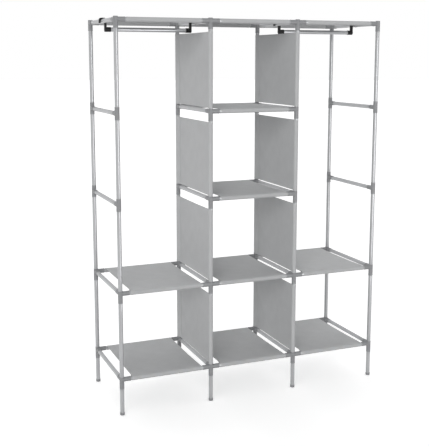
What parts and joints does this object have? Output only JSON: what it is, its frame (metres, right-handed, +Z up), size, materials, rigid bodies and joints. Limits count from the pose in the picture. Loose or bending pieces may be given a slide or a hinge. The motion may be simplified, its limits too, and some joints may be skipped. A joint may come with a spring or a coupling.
{
  "type": "portable fabric wardrobe",
  "caption": "Open tube-frame wardrobe with three bays, fabric shelves and dividers, and a garment rail in each outer bay.",
  "frame": {"origin": "on the floor, under the middle of the wardrobe", "axes": "+X to the right seen from the front, +Y to the back, +Z up"},
  "size_m": [1.3074, 0.45, 1.7514],
  "materials": {
    "tube_steel": "satin silver-grey coating",
    "connector_plastic": "moulded grey plastic",
    "shelf_fabric": "matt non-woven cloth",
    "hook_plastic": "moulded black plastic"
  },
  "bodies": {
    "frame": {"side_frame_left_outer": "tube_steel", "foot_cap_left_outer_front": "connector_plastic", "foot_cap_left_outer_back": "connector_plastic", "side_frame_left_inner": "tube_steel", "foot_cap_left_inner_front": "connector_plastic", "foot_cap_left_inner_back": "connector_plastic", "side_frame_right_inner": "tube_steel", "foot_cap_right_inner_front": "connector_plastic", "foot_cap_right_inner_back": "connector_plastic", "side_frame_right_outer": "tube_steel", "foot_cap_right_outer_front": "connector_plastic", "foot_cap_right_outer_back": "connector_plastic", "cross_rail_left_front_level_1": "tube_steel", "cross_rail_left_back_level_1": "tube_steel", "cross_rail_left_front_level_2": "tube_steel", "cross_rail_left_back_level_2": "tube_steel", "cross_rail_left_front_level_5": "tube_steel", "cross_rail_left_back_level_5": "tube_steel", "cross_rail_centre_front_level_1": "tube_steel", "cross_rail_centre_back_level_1": "tube_steel", "cross_rail_centre_front_level_2": "tube_steel", "cross_rail_centre_back_level_2": "tube_steel", "cross_rail_centre_front_level_3": "tube_steel", "cross_rail_centre_back_level_3": "tube_steel", "cross_rail_centre_front_level_4": "tube_steel", "cross_rail_centre_back_level_4": "tube_steel", "cross_rail_centre_front_level_5": "tube_steel", "cross_rail_centre_back_level_5": "tube_steel", "cross_rail_right_front_level_1": "tube_steel", "cross_rail_right_back_level_1": "tube_steel", "cross_rail_right_front_level_2": "tube_steel", "cross_rail_right_back_level_2": "tube_steel", "cross_rail_right_front_level_5": "tube_steel", "cross_rail_right_back_level_5": "tube_steel", "shelf_left_level_1": "shelf_fabric", "shelf_left_level_2": "shelf_fabric", "shelf_left_level_5": "shelf_fabric", "shelf_centre_level_1": "shelf_fabric", "shelf_centre_level_2": "shelf_fabric", "shelf_centre_level_3": "shelf_fabric", "shelf_centre_level_4": "shelf_fabric", "shelf_centre_level_5": "shelf_fabric", "shelf_right_level_1": "shelf_fabric", "shelf_right_level_2": "shelf_fabric", "shelf_right_level_5": "shelf_fabric", "divider_left_inner_level_1": "shelf_fabric", "divider_left_inner_level_2": "shelf_fabric", "divider_left_inner_level_3": "shelf_fabric", "divider_left_inner_level_4": "shelf_fabric", "divider_right_inner_level_1": "shelf_fabric", "divider_right_inner_level_2": "shelf_fabric", "divider_right_inner_level_3": "shelf_fabric", "divider_right_inner_level_4": "shelf_fabric"},
    "garment_rail_left": {"garment_rod_left": "tube_steel", "hook_left_bay_left": "hook_plastic", "hook_left_bay_right": "hook_plastic"},
    "garment_rail_right": {"garment_rod_right": "tube_steel", "hook_right_bay_left": "hook_plastic", "hook_right_bay_right": "hook_plastic"}
  },
  "joints": [
    {"name": "garment_rail_left_slide", "type": "slide", "parent": "frame", "child": "garment_rail_left", "axis": [0, 1, 0], "range_m": [-0.1638, 0.1638]},
    {"name": "garment_rail_right_slide", "type": "slide", "parent": "frame", "child": "garment_rail_right", "axis": [0, 1, 0], "range_m": [-0.1638, 0.1638]}
  ]
}
